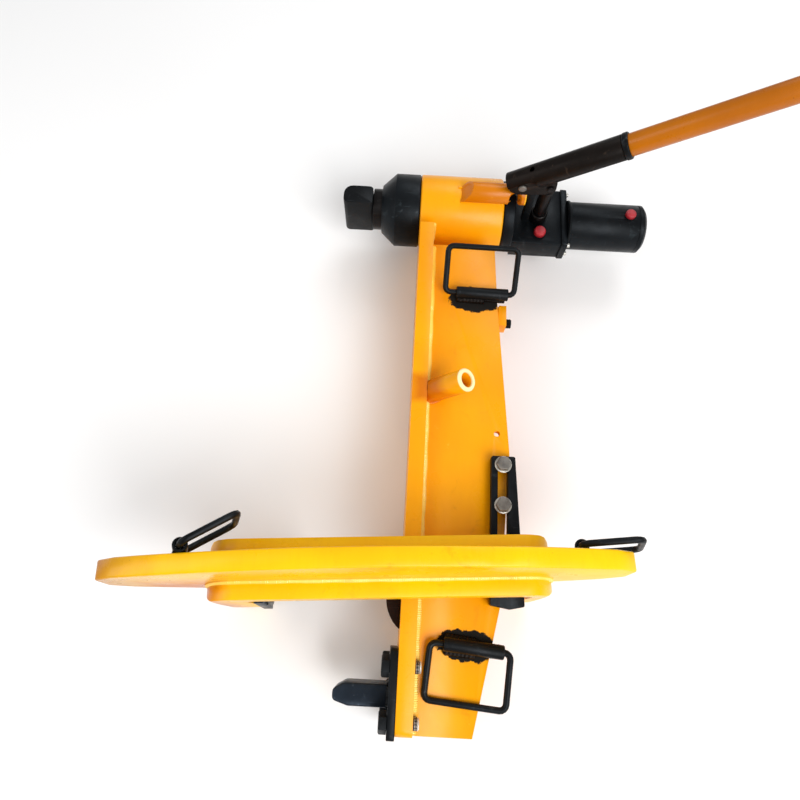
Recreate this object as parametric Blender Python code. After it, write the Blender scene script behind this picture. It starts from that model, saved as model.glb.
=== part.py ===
"""Hydraulic rail bender, modelled as separate steel pieces.

A three-point bender: a flanged beam lies beside the rail, a bolted anvil nose at its near end and a
hydraulic ram at its far end push the rail away, and a saddle-shaped yoke dropped over rail and beam
pulls it back between them.  A slotted wedge takes up the play between the yoke and the beam.

Lengths are in metres, angles in degrees, +Z is up.  Inside the script a point is given from the beam's
datum corner: X from the flange's rail side, Y from the beam's near end, Z from the floor.  The empty
"beam_datum" carries everything and puts the world origin on the underside of the base plate.
"""
import math

import bmesh
import bpy
from mathutils import Matrix, Vector

# --- driving dimensions -------------------------------------------------------------------------
GAP = 0.0003                     # air left between two pieces that touch
ORIGIN_X, ORIGIN_Y = 0.070, 0.380  # world origin, measured from the datum corner

FLANGE_T, FLANGE_H = 0.021, 0.150
BEAM_Y0, BEAM_Y1 = 0.006, 0.745
WEB_T = 0.012
WEB_TOP = 0.130                  # upper face of the top web plate
WEB_EDGE = ((0.094, BEAM_Y0 + 0.001), (0.127, 0.162), (0.1385, 0.364), (0.120, 0.591), (0.112, BEAM_Y1))
RIB_T = 0.010
RIB_STATIONS = (0.235, 0.672)
FLANGE_TOP_Y1, WEB_TOP_Y1 = 0.712, 0.686   # ends of the flange and top web plate beside the barrel

BARREL_Y, BARREL_Z = 0.771, 0.088
BARREL_R, BORE_R = 0.057, 0.044
BARREL_X0, BARREL_X1 = -0.001, 0.128
BORE_END = 0.117
COLLAR_X0, CONE_X0 = -0.040, -0.0615
CONE_R = 0.037
ROD_R = 0.032
SPIGOT_L = 0.009                 # collar spigot inside the barrel
PISTON_X0, PISTON_X1 = 0.092, 0.114
RAM_STROKE = 0.050
SPRING_TURNS, SPRING_WIRE_R, SPRING_R = 5, 0.0030, 0.0382

HEAD_X0, HEAD_X1 = -0.122, -0.076
HEAD_Y, HEAD_Z = 0.031, 0.078

RING_X1 = 0.147
RING_R = 0.054
BLOCK_X1 = 0.226
BLOCK_Y0, BLOCK_Y1 = 0.720, 0.822
BLOCK_Z0, BLOCK_Z1 = 0.053, 0.094
END_FLANGE_T = 0.010
TANK_Y, TANK_Z, TANK_R, TANK_WALL = 0.765, 0.080, 0.0375, 0.004
TANK_X1, TANK_END = 0.347, 0.359
FILLER_X = 0.3305

PIN_A = (0.147, 0.188)           # fulcrum pin, X and Z
LEVER_Y = 0.7665
LEVER_TILT = 34.2
SOCKET_R, SOCKET_BORE = 0.0178, 0.0160
SOCKET_U0, SOCKET_U1 = -0.019, 0.149
HANDLE_R, HANDLE_U0, HANDLE_U1 = 0.0156, 0.050, 0.655
CHEEK_IN, CHEEK_T = 0.0078, 0.0050   # lever cheek plates, from the lever's middle plane
PIN_B = (0.188, 0.1895)          # plunger pin, X and Z
PLUNGER_R = 0.010
POST_HALF = 0.006

ARM_Y, ARM_Z, ARM_R, ARM_BORE = 0.767, 0.153, 0.0155, 0.0105
ARM_X0, ARM_X1 = 0.048, 0.158

ANVIL_T = 0.010
ANVIL_Y0, ANVIL_Y1, ANVIL_Z0, ANVIL_Z1 = 0.002, 0.106, 0.016, 0.150
NOSE_Y0, NOSE_Y1, NOSE_X0 = 0.035, 0.062, -0.080
NOSE_Z0, NOSE_Z1 = 0.046, 0.118
ANVIL_BOLTS = ((0.0215, 0.0305), (0.0215, 0.1395), (0.0850, 0.0305), (0.0850, 0.1395))
M16_R, M16_AF, M16_HEAD = 0.008, 0.024, 0.010

HANDLE_ROD_R = 0.0043
LOOP_HALF, LOOP_LONG = 0.0505, 0.067
SLEEVE_R, SLEEVE_BORE, SLEEVE_HALF = 0.0088, 0.0053, 0.038
SLEEVE_SHIFT = 0.004             # sleeve, off the middle of its loop
NEAR_CARRY, NEAR_TURN, NEAR_LIFT = (0.089, 0.111), -5.0, -183.8
FAR_CARRY, FAR_TURN, FAR_LIFT = (0.092, 0.602), -0.5, -40.0

TUBE_MOUTH = (0.072, 0.447, 0.190)
TUBE_TILT, TUBE_L, TUBE_R, TUBE_BORE = 51.0, 0.110, 0.016, 0.0105

WEDGE_X0, WEDGE_NEAR_X1, WEDGE_FAR_X1 = 0.112, 0.156, 0.144
WEDGE_Y0, WEDGE_Y1, WEDGE_T = 0.159, 0.357, 0.014
SLOT_X, SLOT_W, SLOT_Y0, SLOT_Y1 = 0.1275, 0.0135, 0.220, 0.3525
WEDGE_BOLTS = (0.345, 0.290)

YOKE_ORIGIN = (-0.0413, 0.1834, 0.2005)
YOKE_LEAN, YOKE_YAW = -3.5, 4.0
LENS_T, LENS_HALF, LENS_RISE = 0.0235, 0.316, 0.090
LENS_KNEE, LENS_KNEE_Z, LENS_END_Z = 0.290, 0.0415, 0.022
WINDOW_X0, WINDOW_X1, WINDOW_Z = -0.151, 0.2025, -0.024
LEG_X0, LEG_X1, LEG_Z = -0.200, 0.227, -0.197
CHEEK_TOP, CHEEK_CORNER = -0.003, 0.040
NEAR_CHEEK_T, FAR_CHEEK_T, CHEEK_FOOT_T = 0.0215, 0.0270, 0.012
CHEEK_ROUND = 0.013              # rounding of the cheeks' outer upright edges
YOKE_LOOP_HALF, YOKE_LOOP_LONG, YOKE_ROD_R = 0.036, 0.070, 0.0043
YOKE_SLEEVE_R, YOKE_SLEEVE_BORE, YOKE_SLEEVE_HALF = 0.0088, 0.0053, 0.022
YOKE_SPLAY = 15.0

SIDES = 24                       # facets on a plain round piece
BARREL_SIDES = 40

YELLOW = (0.95, 0.42, 0.01, 1.0)
BLACK = (0.015, 0.017, 0.02, 1.0)
STEEL = (0.55, 0.55, 0.57, 1.0)
BROWN = (0.035, 0.022, 0.018, 1.0)
RED = (0.65, 0.02, 0.06, 1.0)
RUBBER = (0.02, 0.02, 0.02, 1.0)


# --- helpers ------------------------------------------------------------------------------------
def material(name, colour, roughness, metallic):
    mat = bpy.data.materials.new(name)
    mat.use_nodes = True
    shader = mat.node_tree.nodes["Principled BSDF"]
    shader.inputs["Base Color"].default_value = colour
    shader.inputs["Roughness"].default_value = roughness
    shader.inputs["Metallic"].default_value = metallic
    return mat


def empty(name, parent, location=(0, 0, 0), rotation=(0, 0, 0)):
    holder = bpy.data.objects.new(name, None)
    bpy.context.collection.objects.link(holder)
    holder.parent = parent
    holder.location = location
    holder.rotation_euler = rotation
    return holder


def place(name, mesh_builder, finish, parent, pivot=(0, 0, 0), smooth=True):
    """Turn a bmesh into an object whose origin is the pivot, given in its parent's axes."""
    bmesh.ops.translate(mesh_builder, verts=mesh_builder.verts, vec=-Vector(pivot))
    bmesh.ops.recalc_face_normals(mesh_builder, faces=mesh_builder.faces)
    mesh = bpy.data.meshes.new(name)
    mesh_builder.to_mesh(mesh)
    mesh_builder.free()
    if smooth:
        mesh.shade_smooth()
        mesh.set_sharp_from_angle(angle=math.radians(32))
    obj = bpy.data.objects.new(name, mesh)
    bpy.context.collection.objects.link(obj)
    obj.parent = parent
    obj.location = pivot
    if finish is None:
        obj.hide_render = True
        obj.display_type = "WIRE"
    else:
        mesh.materials.append(finish)
    return obj


def cut(obj, cutter, operation="DIFFERENCE"):
    boolean = obj.modifiers.new("cut", "BOOLEAN")
    boolean.operation = operation
    boolean.solver = "EXACT"
    boolean.object = cutter


def loft(rings, closed=False):
    """Skin a row of point rings that have equal counts; closed joins the last ring to the first."""
    bm = bmesh.new()
    loops = [[bm.verts.new(p) for p in ring] for ring in rings]
    pairs = list(zip(loops, loops[1:]))
    if closed:
        pairs.append((loops[-1], loops[0]))
    else:
        bm.faces.new(loops[0])
        bm.faces.new(loops[-1])
    for ring_a, ring_b in pairs:
        for i in range(len(ring_a)):
            j = (i + 1) % len(ring_a)
            bm.faces.new((ring_a[i], ring_a[j], ring_b[j], ring_b[i]))
    return bm


AXES = {
    "x": lambda a, b, h: (h, a, b),
    "y": lambda a, b, h: (a, h, b),
    "z": lambda a, b, h: (a, b, h),
}


def prism(outline, low, high, axis="z"):
    """Extrude a flat outline; its two coordinates are the other two axes in X, Y, Z order."""
    to_3d = AXES[axis]
    return loft([[to_3d(a, b, h) for a, b in outline] for h in (low, high)])


def box(low, high):
    (x0, y0, z0), (x1, y1, z1) = low, high
    return prism([(x0, y0), (x1, y0), (x1, y1), (x0, y1)], z0, z1)


def circle(radius, centre=(0, 0), count=SIDES, start=0.0):
    step = 2 * math.pi / count
    return [(centre[0] + radius * math.cos(start + i * step), centre[1] + radius * math.sin(start + i * step))
            for i in range(count)]


def turned(profile, centre, axis="x", count=SIDES, ring=False):
    """Revolve (station, radius) pairs about an axis; a ring's profile closes on itself."""
    to_3d = AXES[axis]
    spots = {"x": (1, 2, 0), "y": (0, 2, 1), "z": (0, 1, 2)}[axis]
    a, b, h = (centre[i] for i in spots)
    return loft([[to_3d(p, q, h + s) for p, q in circle(r, (a, b), count)] for s, r in profile], ring)


def cylinder(radius, start, length, axis="x", count=SIDES):
    return turned([(0, radius), (length, radius)], start, axis, count)


def tube(outer, inner, start, length, axis="x", count=SIDES, lip=0.0):
    """A hollow tube with small chamfers of the given size on its outer rims."""
    profile = [(0, inner), (0, outer - lip), (lip, outer), (length - lip, outer),
               (length, outer - lip), (length, inner)]
    if not lip:
        profile = [(0, inner), (0, outer), (length, outer), (length, inner)]
    return turned(profile, start, axis, count, ring=True)


def rounded(corners, steps=5):
    """Outline from (a, b, radius) corners, each turned into an arc of that radius."""
    points = []
    count = len(corners)
    for i, (a, b, radius) in enumerate(corners):
        here = Vector((a, b))
        if radius <= 0:
            points.append((a, b))
            continue
        before = (Vector(corners[i - 1][:2]) - here).normalized()
        after = (Vector(corners[(i + 1) % count][:2]) - here).normalized()
        half = before.angle(after) / 2
        centre = here + (before + after).normalized() * (radius / math.sin(half))
        run = radius / math.tan(half)
        first, last = here + before * run - centre, here + after * run - centre
        sweep = first.angle_signed(last)
        for k in range(steps + 1):
            turn = Matrix.Rotation(-sweep * k / steps, 2)
            points.append(tuple(centre + turn @ first))
    return points


def moved(bm, matrix):
    bmesh.ops.transform(bm, matrix=matrix, verts=bm.verts)
    return bm


def joined(builders):
    """Gather several closed shapes in one bmesh, for cutters."""
    total = bmesh.new()
    for part in builders:
        mesh = bpy.data.meshes.new("scrap")
        bmesh.ops.recalc_face_normals(part, faces=part.faces)
        part.to_mesh(mesh)
        part.free()
        total.from_mesh(mesh)
        bpy.data.meshes.remove(mesh)
    return total


def hex_bolt(across_flats, head, shank_r, shank, seat, axis, sign):
    """Hexagon bolt: the head's seat is at the given point and the head stands out along sign."""
    count = 12
    corner = across_flats / 2 / math.cos(math.pi / 6)

    def hexagon(scale):
        return [scale * (corner if i % 2 == 0 else across_flats / 2) for i in range(count)]

    def ring(radii, station):
        step = 2 * math.pi / count
        to_3d = AXES[axis]
        return [to_3d(r * math.cos(i * step), r * math.sin(i * step), station * sign)
                for i, r in enumerate(radii)]

    rings = [ring(hexagon(0.86), head), ring(hexagon(1.0), head * 0.86), ring(hexagon(1.0), 0),
             ring([shank_r] * count, 0), ring([shank_r] * count, -shank)]
    return moved(loft(rings), Matrix.Translation(seat))


def rod_loop(name, points, radius, finish, parent, pivot, ring=True):
    """A bent round rod; its points are measured from the pivot."""
    curve = bpy.data.curves.new(name, "CURVE")
    curve.dimensions = "3D"
    curve.bevel_depth = radius
    curve.bevel_resolution = 2
    curve.use_fill_caps = True
    spline = curve.splines.new("POLY")
    spline.points.add(len(points) - 1)
    for slot, p in zip(spline.points, points):
        slot.co = (*p, 1.0)
    spline.use_cyclic_u = ring
    obj = bpy.data.objects.new(name, curve)
    bpy.context.collection.objects.link(obj)
    obj.parent = parent
    obj.location = pivot
    curve.materials.append(finish)
    return obj


# --- beam ---------------------------------------------------------------------------------------
def barrel_cutter(datum):
    start = (BARREL_X0 - 0.02, BARREL_Y, BARREL_Z)
    length = BARREL_X1 - BARREL_X0 + 0.04
    return place("cut_barrel", cylinder(BARREL_R + GAP, start, length, count=BARREL_SIDES), None, datum)


def anvil_hole_cutter(datum):
    holes = [cylinder(M16_R + GAP, (-0.03, y, z), 0.07, count=12) for y, z in ANVIL_BOLTS]
    return place("cut_anvil_holes", joined(holes), None, datum)


def flange_plate(datum, finish, barrel, holes):
    corner = 0.006
    outline = rounded([(BEAM_Y0, 0, corner), (BEAM_Y1, 0, 0), (BEAM_Y1, FLANGE_H, 0), (BEAM_Y0, FLANGE_H, 0.010)], 3)
    plate = place("flange_plate", prism(outline, 0, FLANGE_T, "x"), finish, datum, smooth=False)
    cut(plate, barrel)
    cut(plate, holes)
    step = box((-0.01, FLANGE_TOP_Y1, BARREL_Z), (FLANGE_T + 0.01, BEAM_Y1 + 0.01, FLANGE_H + 0.01))
    cut(plate, place("cut_flange_step", step, None, datum))


def web_outline(end=BEAM_Y1):
    inner = FLANGE_T + GAP
    edge = [point for point in WEB_EDGE if point[1] < end] + [(edge_x(end), end)]
    return [(inner, edge[0][1])] + edge + [(inner, end)]


def web_plates(datum, finish):
    outline = web_outline(WEB_TOP_Y1)
    top = place("top_web_plate", prism(outline, WEB_TOP - WEB_T, WEB_TOP), finish, datum, smooth=False)
    bolt_holes = [cylinder(0.006 + GAP, (SLOT_X, y, WEB_TOP - 0.03), 0.05, "z", 12) for y in WEDGE_BOLTS]
    drilled = cylinder(0.0042, (0.121, 0.392, WEB_TOP - 0.03), 0.05, "z", 12)
    cut(top, place("cut_web_holes", joined(bolt_holes + [drilled]), None, datum))
    place("bottom_web_plate", prism(web_outline(), 0, WEB_T), finish, datum)


def edge_x(y):
    """X of the web plates' back edge at a station."""
    for (x0, y0), (x1, y1) in zip(WEB_EDGE, WEB_EDGE[1:]):
        if y <= y1:
            return x0 + (x1 - x0) * (y - y0) / (y1 - y0)
    return WEB_EDGE[-1][0]


def web_ribs(datum, finish):
    """Windowed cross plates between the two web plates."""
    low, high = WEB_T + GAP, WEB_TOP - WEB_T - GAP
    for i, y in enumerate(RIB_STATIONS):
        x1 = edge_x(y) - 0.003
        outline = rounded([(FLANGE_T + GAP, low, 0), (x1, low, 0), (x1, high, 0), (FLANGE_T + GAP, high, 0)])
        rib = place(f"web_rib_{i + 1}", prism(outline, y, y + RIB_T, "y"), finish, datum)
        middle = (FLANGE_T + x1) / 2
        window = rounded([(middle - 0.026, 0.036, 0.012), (middle + 0.026, 0.036, 0.012),
                          (middle + 0.026, 0.094, 0.012), (middle - 0.026, 0.094, 0.012)], 3)
        cut(rib, place(f"cut_rib_{i + 1}", prism(window, y - 0.01, y + RIB_T + 0.01, "y"), None, datum))


def barrel_saddle(datum, finish, barrel):
    saddle = place("barrel_saddle", box((0.030, 0.746, 0.0), (0.112, 0.796, 0.050)), finish, datum)
    cut(saddle, barrel)


# --- cylinder and ram -----------------------------------------------------------------------------
def cylinder_barrel(datum, finish):
    length = BARREL_X1 - BARREL_X0
    profile = [(0, BORE_R), (0, BARREL_R - 0.002), (0.002, BARREL_R), (length - 0.002, BARREL_R),
               (length, BARREL_R - 0.002), (length, 0.006), (BORE_END - BARREL_X0, 0.006),
               (BORE_END - BARREL_X0, BORE_R)]
    centre = (BARREL_X0, BARREL_Y, BARREL_Z)
    place("cylinder_barrel", turned(profile, centre, count=BARREL_SIDES, ring=True), finish, datum)


def gland_collar(datum, finish):
    face = BARREL_X0 - GAP
    bore = ROD_R + 0.0005
    profile = [(CONE_X0, bore), (CONE_X0, CONE_R), (COLLAR_X0, BARREL_R - 0.0005), (face - 0.002, BARREL_R - 0.0005),
               (face, BARREL_R - 0.0025), (face, BORE_R - GAP), (face + SPIGOT_L, BORE_R - GAP),
               (face + SPIGOT_L, bore)]
    centre = (0, BARREL_Y, BARREL_Z)
    place("gland_collar", turned(profile, centre, count=BARREL_SIDES, ring=True), finish, datum)


def ram(datum, steel, black, rubber):
    axis = (0, BARREL_Y, BARREL_Z)
    slide = empty("ram_axis", datum, axis)
    reach = HEAD_X1 - 0.006
    rod = turned([(reach, 0.012), (HEAD_X1 + GAP, 0.012), (HEAD_X1 + GAP, ROD_R - 0.001),
                  (HEAD_X1 + 0.001, ROD_R), (PISTON_X0 - GAP, ROD_R), (PISTON_X0 - GAP, 0.014),
                  (PISTON_X1 + 0.001, 0.014)], (0, 0, 0), count=32)
    place("ram_rod", rod, steel, slide)
    groove = BORE_R - 0.004
    middle = (PISTON_X0 + PISTON_X1) / 2
    head = [(PISTON_X0, 0.014 + GAP), (PISTON_X0, BORE_R - GAP), (middle - 0.003, BORE_R - GAP),
            (middle - 0.003, groove), (middle + 0.003, groove), (middle + 0.003, BORE_R - GAP),
            (PISTON_X1, BORE_R - GAP), (PISTON_X1, 0.014 + GAP)]
    place("piston", turned(head, (0, 0, 0), count=BARREL_SIDES, ring=True), steel, slide)
    seal = [(middle - 0.003 + GAP, groove + GAP), (middle - 0.003 + GAP, BORE_R - GAP),
            (middle + 0.003 - GAP, BORE_R - GAP), (middle + 0.003 - GAP, groove + GAP)]
    place("piston_seal", turned(seal, (0, 0, 0), count=BARREL_SIDES, ring=True), rubber, slide)
    half_y, half_z = HEAD_Y / 2, HEAD_Z / 2
    plan = rounded([(HEAD_X0, -half_y, 0.007), (HEAD_X1, -half_y, 0.003), (HEAD_X1, half_y, 0.006),
                    (HEAD_X0, half_y, 0.014)], 4)
    pusher = place("ram_head", prism(plan, -half_z, half_z), black, slide)
    socket = cylinder(0.012 + GAP, (reach - GAP, 0, 0), 0.03, count=24)
    cut(pusher, place("cut_head_socket", socket, None, slide))
    return slide


def return_spring(datum, finish):
    """Coil between the collar's spigot and the piston, round the rod."""
    start = BARREL_X0 + SPIGOT_L + SPRING_WIRE_R + 2 * GAP
    end = PISTON_X0 - SPRING_WIRE_R - 2 * GAP
    per_turn = 14
    total = SPRING_TURNS * per_turn
    points = []
    for i in range(total + 1):
        angle = 2 * math.pi * i / per_turn
        station = start + (end - start) * i / total
        points.append((station, SPRING_R * math.cos(angle), SPRING_R * math.sin(angle)))
    coil = rod_loop("return_spring", points, SPRING_WIRE_R, finish, datum, (0, BARREL_Y, BARREL_Z), ring=False)
    coil.data.bevel_resolution = 1


# --- pump ---------------------------------------------------------------------------------------
def pump_body(datum, black, steel, red):
    face = BARREL_X1 + GAP
    ring = tube(RING_R, 0.030, (face, BARREL_Y, BARREL_Z), RING_X1 - face, count=BARREL_SIDES, lip=0.002)
    place("rear_ring", ring, black, datum)

    x0 = RING_X1 + GAP
    outline = rounded([(BLOCK_Y0, BLOCK_Z0, 0.004), (BLOCK_Y1, BLOCK_Z0, 0.004),
                       (BLOCK_Y1, BLOCK_Z1, 0.004), (BLOCK_Y0, BLOCK_Z1, 0.004)], 2)
    block = place("pump_block", prism(outline, x0, BLOCK_X1, "x"), black, datum)
    cut(block, place("join_post", fulcrum_post(), None, datum), "UNION")
    low, top = BLOCK_Z0, BLOCK_Z1
    bores = [cylinder(PLUNGER_R + 0.0004, (PIN_B[0], LEVER_Y, low + 0.004), 0.05, "z"),
             cylinder(0.0056, (PIN_A[0], LEVER_Y - 0.03, PIN_A[1]), 0.06, "y", 16),
             cylinder(0.0075, (0.1915, 0.7395, top - 0.012), 0.022, "z", 16),
             cylinder(0.0056, (0.185, BLOCK_Y1 - 0.018, low + 0.019), 0.04, "y", 16)]
    cut(block, place("cut_block_bores", joined(bores), None, datum))

    x1 = BLOCK_X1 + GAP
    y0, y1, z0, z1 = BLOCK_Y0 - 0.002, BLOCK_Y1 + 0.002, BLOCK_Z0 - 0.002, BLOCK_Z1 + 0.003
    outline = rounded([(y0, z0, 0.006), (y1, z0, 0.006), (y1, z1, 0.006), (y0, z1, 0.006)], 3)
    place("tank_flange", prism(outline, x1, x1 + END_FLANGE_T, "x"), black, datum)

    x2 = x1 + END_FLANGE_T + GAP
    inner = TANK_R - TANK_WALL
    shell = [(x2, 0.006), (x2, TANK_R - 0.001), (x2 + 0.001, TANK_R), (TANK_X1, TANK_R), (TANK_X1, inner),
             (x2 + 0.006, inner), (x2 + 0.006, 0.006)]
    tank = place("oil_tank", turned(shell, (0, TANK_Y, TANK_Z), count=36, ring=True), black, datum)
    filler = cylinder(0.0061, (FILLER_X, TANK_Y, TANK_Z), 0.06, "z", 16)
    cut(tank, place("cut_filler", filler, None, datum))
    lip = inner - GAP
    cap = [(TANK_X1 - 0.002, lip - 0.004), (TANK_X1 - 0.002, lip), (TANK_X1 + GAP, lip), (TANK_X1 + GAP, TANK_R),
           (TANK_END - 0.005, TANK_R), (TANK_END, TANK_R - 0.006), (TANK_END, 0.004), (TANK_X1 + GAP, 0.004),
           (TANK_X1 + GAP, lip - 0.004)]
    place("tank_cap", turned(cap, (0, TANK_Y, TANK_Z), count=36, ring=True), black, datum)

    plug = [(-0.008, 0.0057), (-GAP, 0.0057), (-GAP, 0.0082), (0.0045, 0.0082), (0.0065, 0.0065)]
    seat = (FILLER_X, TANK_Y, TANK_Z + TANK_R + 0.0008)
    place("filler_plug", turned(plug, seat, "z", 16), red, datum)
    plug = [(-0.009, 0.0072), (-GAP, 0.0072), (-GAP, 0.0092), (0.0060, 0.0092), (0.0085, 0.0075)]
    place("port_plug", turned(plug, (0.1915, 0.7395, top + 2 * GAP), "z", 16), red, datum)

    gland = tube(0.0135, PLUNGER_R + 0.0004, (PIN_B[0], LEVER_Y, top + GAP), 0.019, "z", lip=0.0015)
    place("plunger_gland", gland, steel, datum)


def fulcrum_post():
    """Upright plate cast on the pump block that carries the lever's fulcrum pin."""
    x, z = PIN_A
    corners = [(0.1625, BLOCK_Z1 - 0.004, 0), (0.1738, BLOCK_Z1 - 0.004, 0), (0.1715, 0.168, 0.008),
               (x + 0.011, z + 0.008, 0.008), (x - 0.004, z + 0.010, 0.0085), (x - 0.0105, z - 0.004, 0.008),
               (x + 0.001, z - 0.012, 0.004), (0.1625, 0.170, 0.004)]
    return prism(rounded(corners, 4), LEVER_Y - POST_HALF, LEVER_Y + POST_HALF, "y")


def release_valve(datum, black):
    seat = (0.185, BLOCK_Y1 + GAP, BLOCK_Z0 + 0.019)
    pivot = empty("release_axis", datum, seat)
    knob = turned([(-0.015, 0.0052), (0.004, 0.0052), (0.004, 0.013), (0.006, 0.0145), (0.018, 0.0145),
                   (0.020, 0.013)], (0, 0, 0), "y", 20)
    place("release_knob", knob, black, pivot)


def hand_lever(datum, black, steel, yellow):
    """Socket, cheek plates, pins, collar and pipe; local X runs along the lever from the fulcrum pin."""
    pivot = empty("lever_axis", datum, (PIN_A[0], LEVER_Y, PIN_A[1]), (0, math.radians(-LEVER_TILT), 0))
    reach = SOCKET_U1 - SOCKET_U0
    body = tube(SOCKET_R, SOCKET_BORE, (SOCKET_U0, 0, 0), reach, "x", 28)
    body = place("lever_socket", body, black, pivot)
    heel = box((SOCKET_U0 - 0.01, -0.03, -0.03), (0.024, 0.03, 0.0090))
    cut(body, place("cut_heel", heel, None, pivot))
    underside = box((0.012, -CHEEK_IN, -0.03), (0.056, CHEEK_IN, -0.001))
    cut(body, place("cut_underside", underside, None, pivot))
    cut(body, place("cut_top", cylinder(0.0042, (0.0225, 0, 0.010), 0.03, "z", 12), None, pivot))

    turn = Matrix.Rotation(math.radians(LEVER_TILT), 4, "Y")
    eye = turn @ Vector((PIN_B[0] - PIN_A[0], 0, PIN_B[1] - PIN_A[1]))
    shapes = [(-0.022, 0.0020, 0.009), (-0.012, -0.0125, 0.009), (eye.x - 0.012, eye.z - 0.0100, 0.009),
              (eye.x + 0.004, eye.z - 0.0105, 0.010), (eye.x + 0.016, -0.0110, 0.003), (0.0242, -0.0110, 0),
              (0.0236, 0.0087, 0), (-0.016, 0.0087, 0.004)]
    round_socket = place("cut_cheek_socket", cylinder(SOCKET_R + GAP, (0.0238, 0, 0), 0.1, "x", 28), None, pivot)
    pins = [cylinder(0.0052, (0, -0.03, 0), 0.06, "y", 14), cylinder(0.0042, (eye.x, -0.03, eye.z), 0.06, "y", 14)]
    pin_holes = place("cut_cheek_pins", joined(pins), None, pivot)
    outer = CHEEK_IN + CHEEK_T
    for name, low, high in (("lever_cheek_near", -outer, -CHEEK_IN), ("lever_cheek_far", CHEEK_IN, outer)):
        plate = place(name, prism(rounded(shapes, 4), low, high, "y"), black, pivot)
        cut(plate, round_socket)
        cut(plate, pin_holes)
    for name, x, z, radius in (("fulcrum_pin", 0, 0, 0.0049), ("plunger_pin", eye.x, eye.z, 0.0039)):
        side = outer + GAP
        pin = [(-side - 0.003, radius), (-side - 0.002, radius + 0.0012), (-side, radius + 0.0012), (-side, radius),
               (side, radius), (side + 0.002, radius)]
        place(name, turned(pin, (x, 0, z), "y", 14), steel, pivot)

    collar = tube(0.0187, HANDLE_R + GAP, (SOCKET_U1 + GAP, 0, 0), 0.009, "x", 28, lip=0.0015)
    place("socket_collar", collar, black, pivot)
    pipe = tube(HANDLE_R, HANDLE_R - 0.003, (HANDLE_U0, 0, 0), HANDLE_U1 - HANDLE_U0, "x", 28)
    place("handle_pipe", pipe, yellow, pivot)


def plunger(datum, steel):
    """Pump plunger; the plunger pin rides in the slot through its flat top."""
    pivot = empty("plunger_axis", datum, (PIN_B[0], LEVER_Y, 0))
    z = PIN_B[1]
    rod = turned([(0.074, PLUNGER_R - 0.001), (0.075, PLUNGER_R), (z - 0.0195, PLUNGER_R)], (0, 0, 0), "z")
    rod = place("pump_plunger", rod, steel, pivot)
    tongue = rounded([(-0.0125, z - 0.0225, 0.003), (0.0090, z - 0.0225, 0.003), (0.0090, z + 0.0085, 0.007),
                      (-0.0125, z + 0.0085, 0.007)], 4)
    cut(rod, place("join_tongue", prism(tongue, -0.0072, 0.0072, "y"), None, pivot), "UNION")
    slot = rounded([(-0.0085, z - 0.0046, 0.0045), (0.0047, z - 0.0046, 0.0045), (0.0047, z + 0.0046, 0.0045),
                    (-0.0085, z + 0.0046, 0.0045)], 4)
    cut(rod, place("cut_tongue_slot", prism(slot, -0.02, 0.02, "y"), None, pivot))


def fulcrum_arm(datum, yellow, barrel):
    """Mitred tube welded along the top of the barrel, open at its far end."""
    arm = place("barrel_arm", tube(ARM_R, ARM_BORE, (ARM_X0, ARM_Y, ARM_Z), ARM_X1 - ARM_X0, count=SIDES),
                yellow, datum)
    cut(arm, barrel)
    mitre = prism([(ARM_X0 - 0.01, 0.130), (ARM_X0 + 0.002, 0.130), (ARM_X0 + 0.034, 0.175),
                   (ARM_X0 - 0.01, 0.175)], ARM_Y - 0.03, ARM_Y + 0.03, "y")
    cut(arm, place("cut_mitre", mitre, None, datum))
    notch = cylinder(0.0098, (ARM_X1 - 0.0165, ARM_Y - 0.0150, ARM_Z - 0.03), 0.06, "z", 20)
    cut(arm, place("cut_arm_notch", notch, None, datum))


# --- anvil, guide pad, wedge, small beam fittings ---------------------------------------------------
def anvil(datum, black, steel, holes):
    outline = rounded([(ANVIL_Y0, ANVIL_Z0, 0.004), (ANVIL_Y1, ANVIL_Z0, 0.004),
                       (ANVIL_Y1, ANVIL_Z1, 0.004), (ANVIL_Y0, ANVIL_Z1, 0.004)], 2)
    plate = place("anvil_plate", prism(outline, -ANVIL_T - GAP, -GAP, "x"), black, datum)
    cut(plate, holes)
    root, tip = -ANVIL_T - 2 * GAP, NOSE_X0
    plan = rounded([(root, NOSE_Y0, 0), (root, NOSE_Y1, 0), (tip + 0.014, NOSE_Y1, 0.010),
                    (tip, NOSE_Y1 - 0.008, 0.006), (tip, NOSE_Y0 + 0.006, 0.006), (tip + 0.020, NOSE_Y0, 0.010)], 3)
    place("anvil_nose", prism(plan, NOSE_Z0, NOSE_Z1), black, datum)
    for i, (y, z) in enumerate(ANVIL_BOLTS):
        seat = (-ANVIL_T - 2 * GAP, y, z)
        shank = ANVIL_T + FLANGE_T + 0.006
        place(f"anvil_bolt_{i + 1}", hex_bolt(M16_AF, M16_HEAD, M16_R, shank, seat, "x", -1), steel, datum)


def guide_pad(datum, brown):
    """Half-round pad on the flange's rail side."""
    radius, centre_x, centre_y = 0.051, 0.0315, 0.168
    spread = math.acos((centre_x + GAP) / radius)
    steps = 16
    outline = [(centre_x - radius * math.cos(-spread + 2 * spread * i / steps),
                centre_y + radius * math.sin(-spread + 2 * spread * i / steps)) for i in range(steps + 1)]
    place("guide_pad", prism(outline, 0.062, 0.104), brown, datum)


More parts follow.
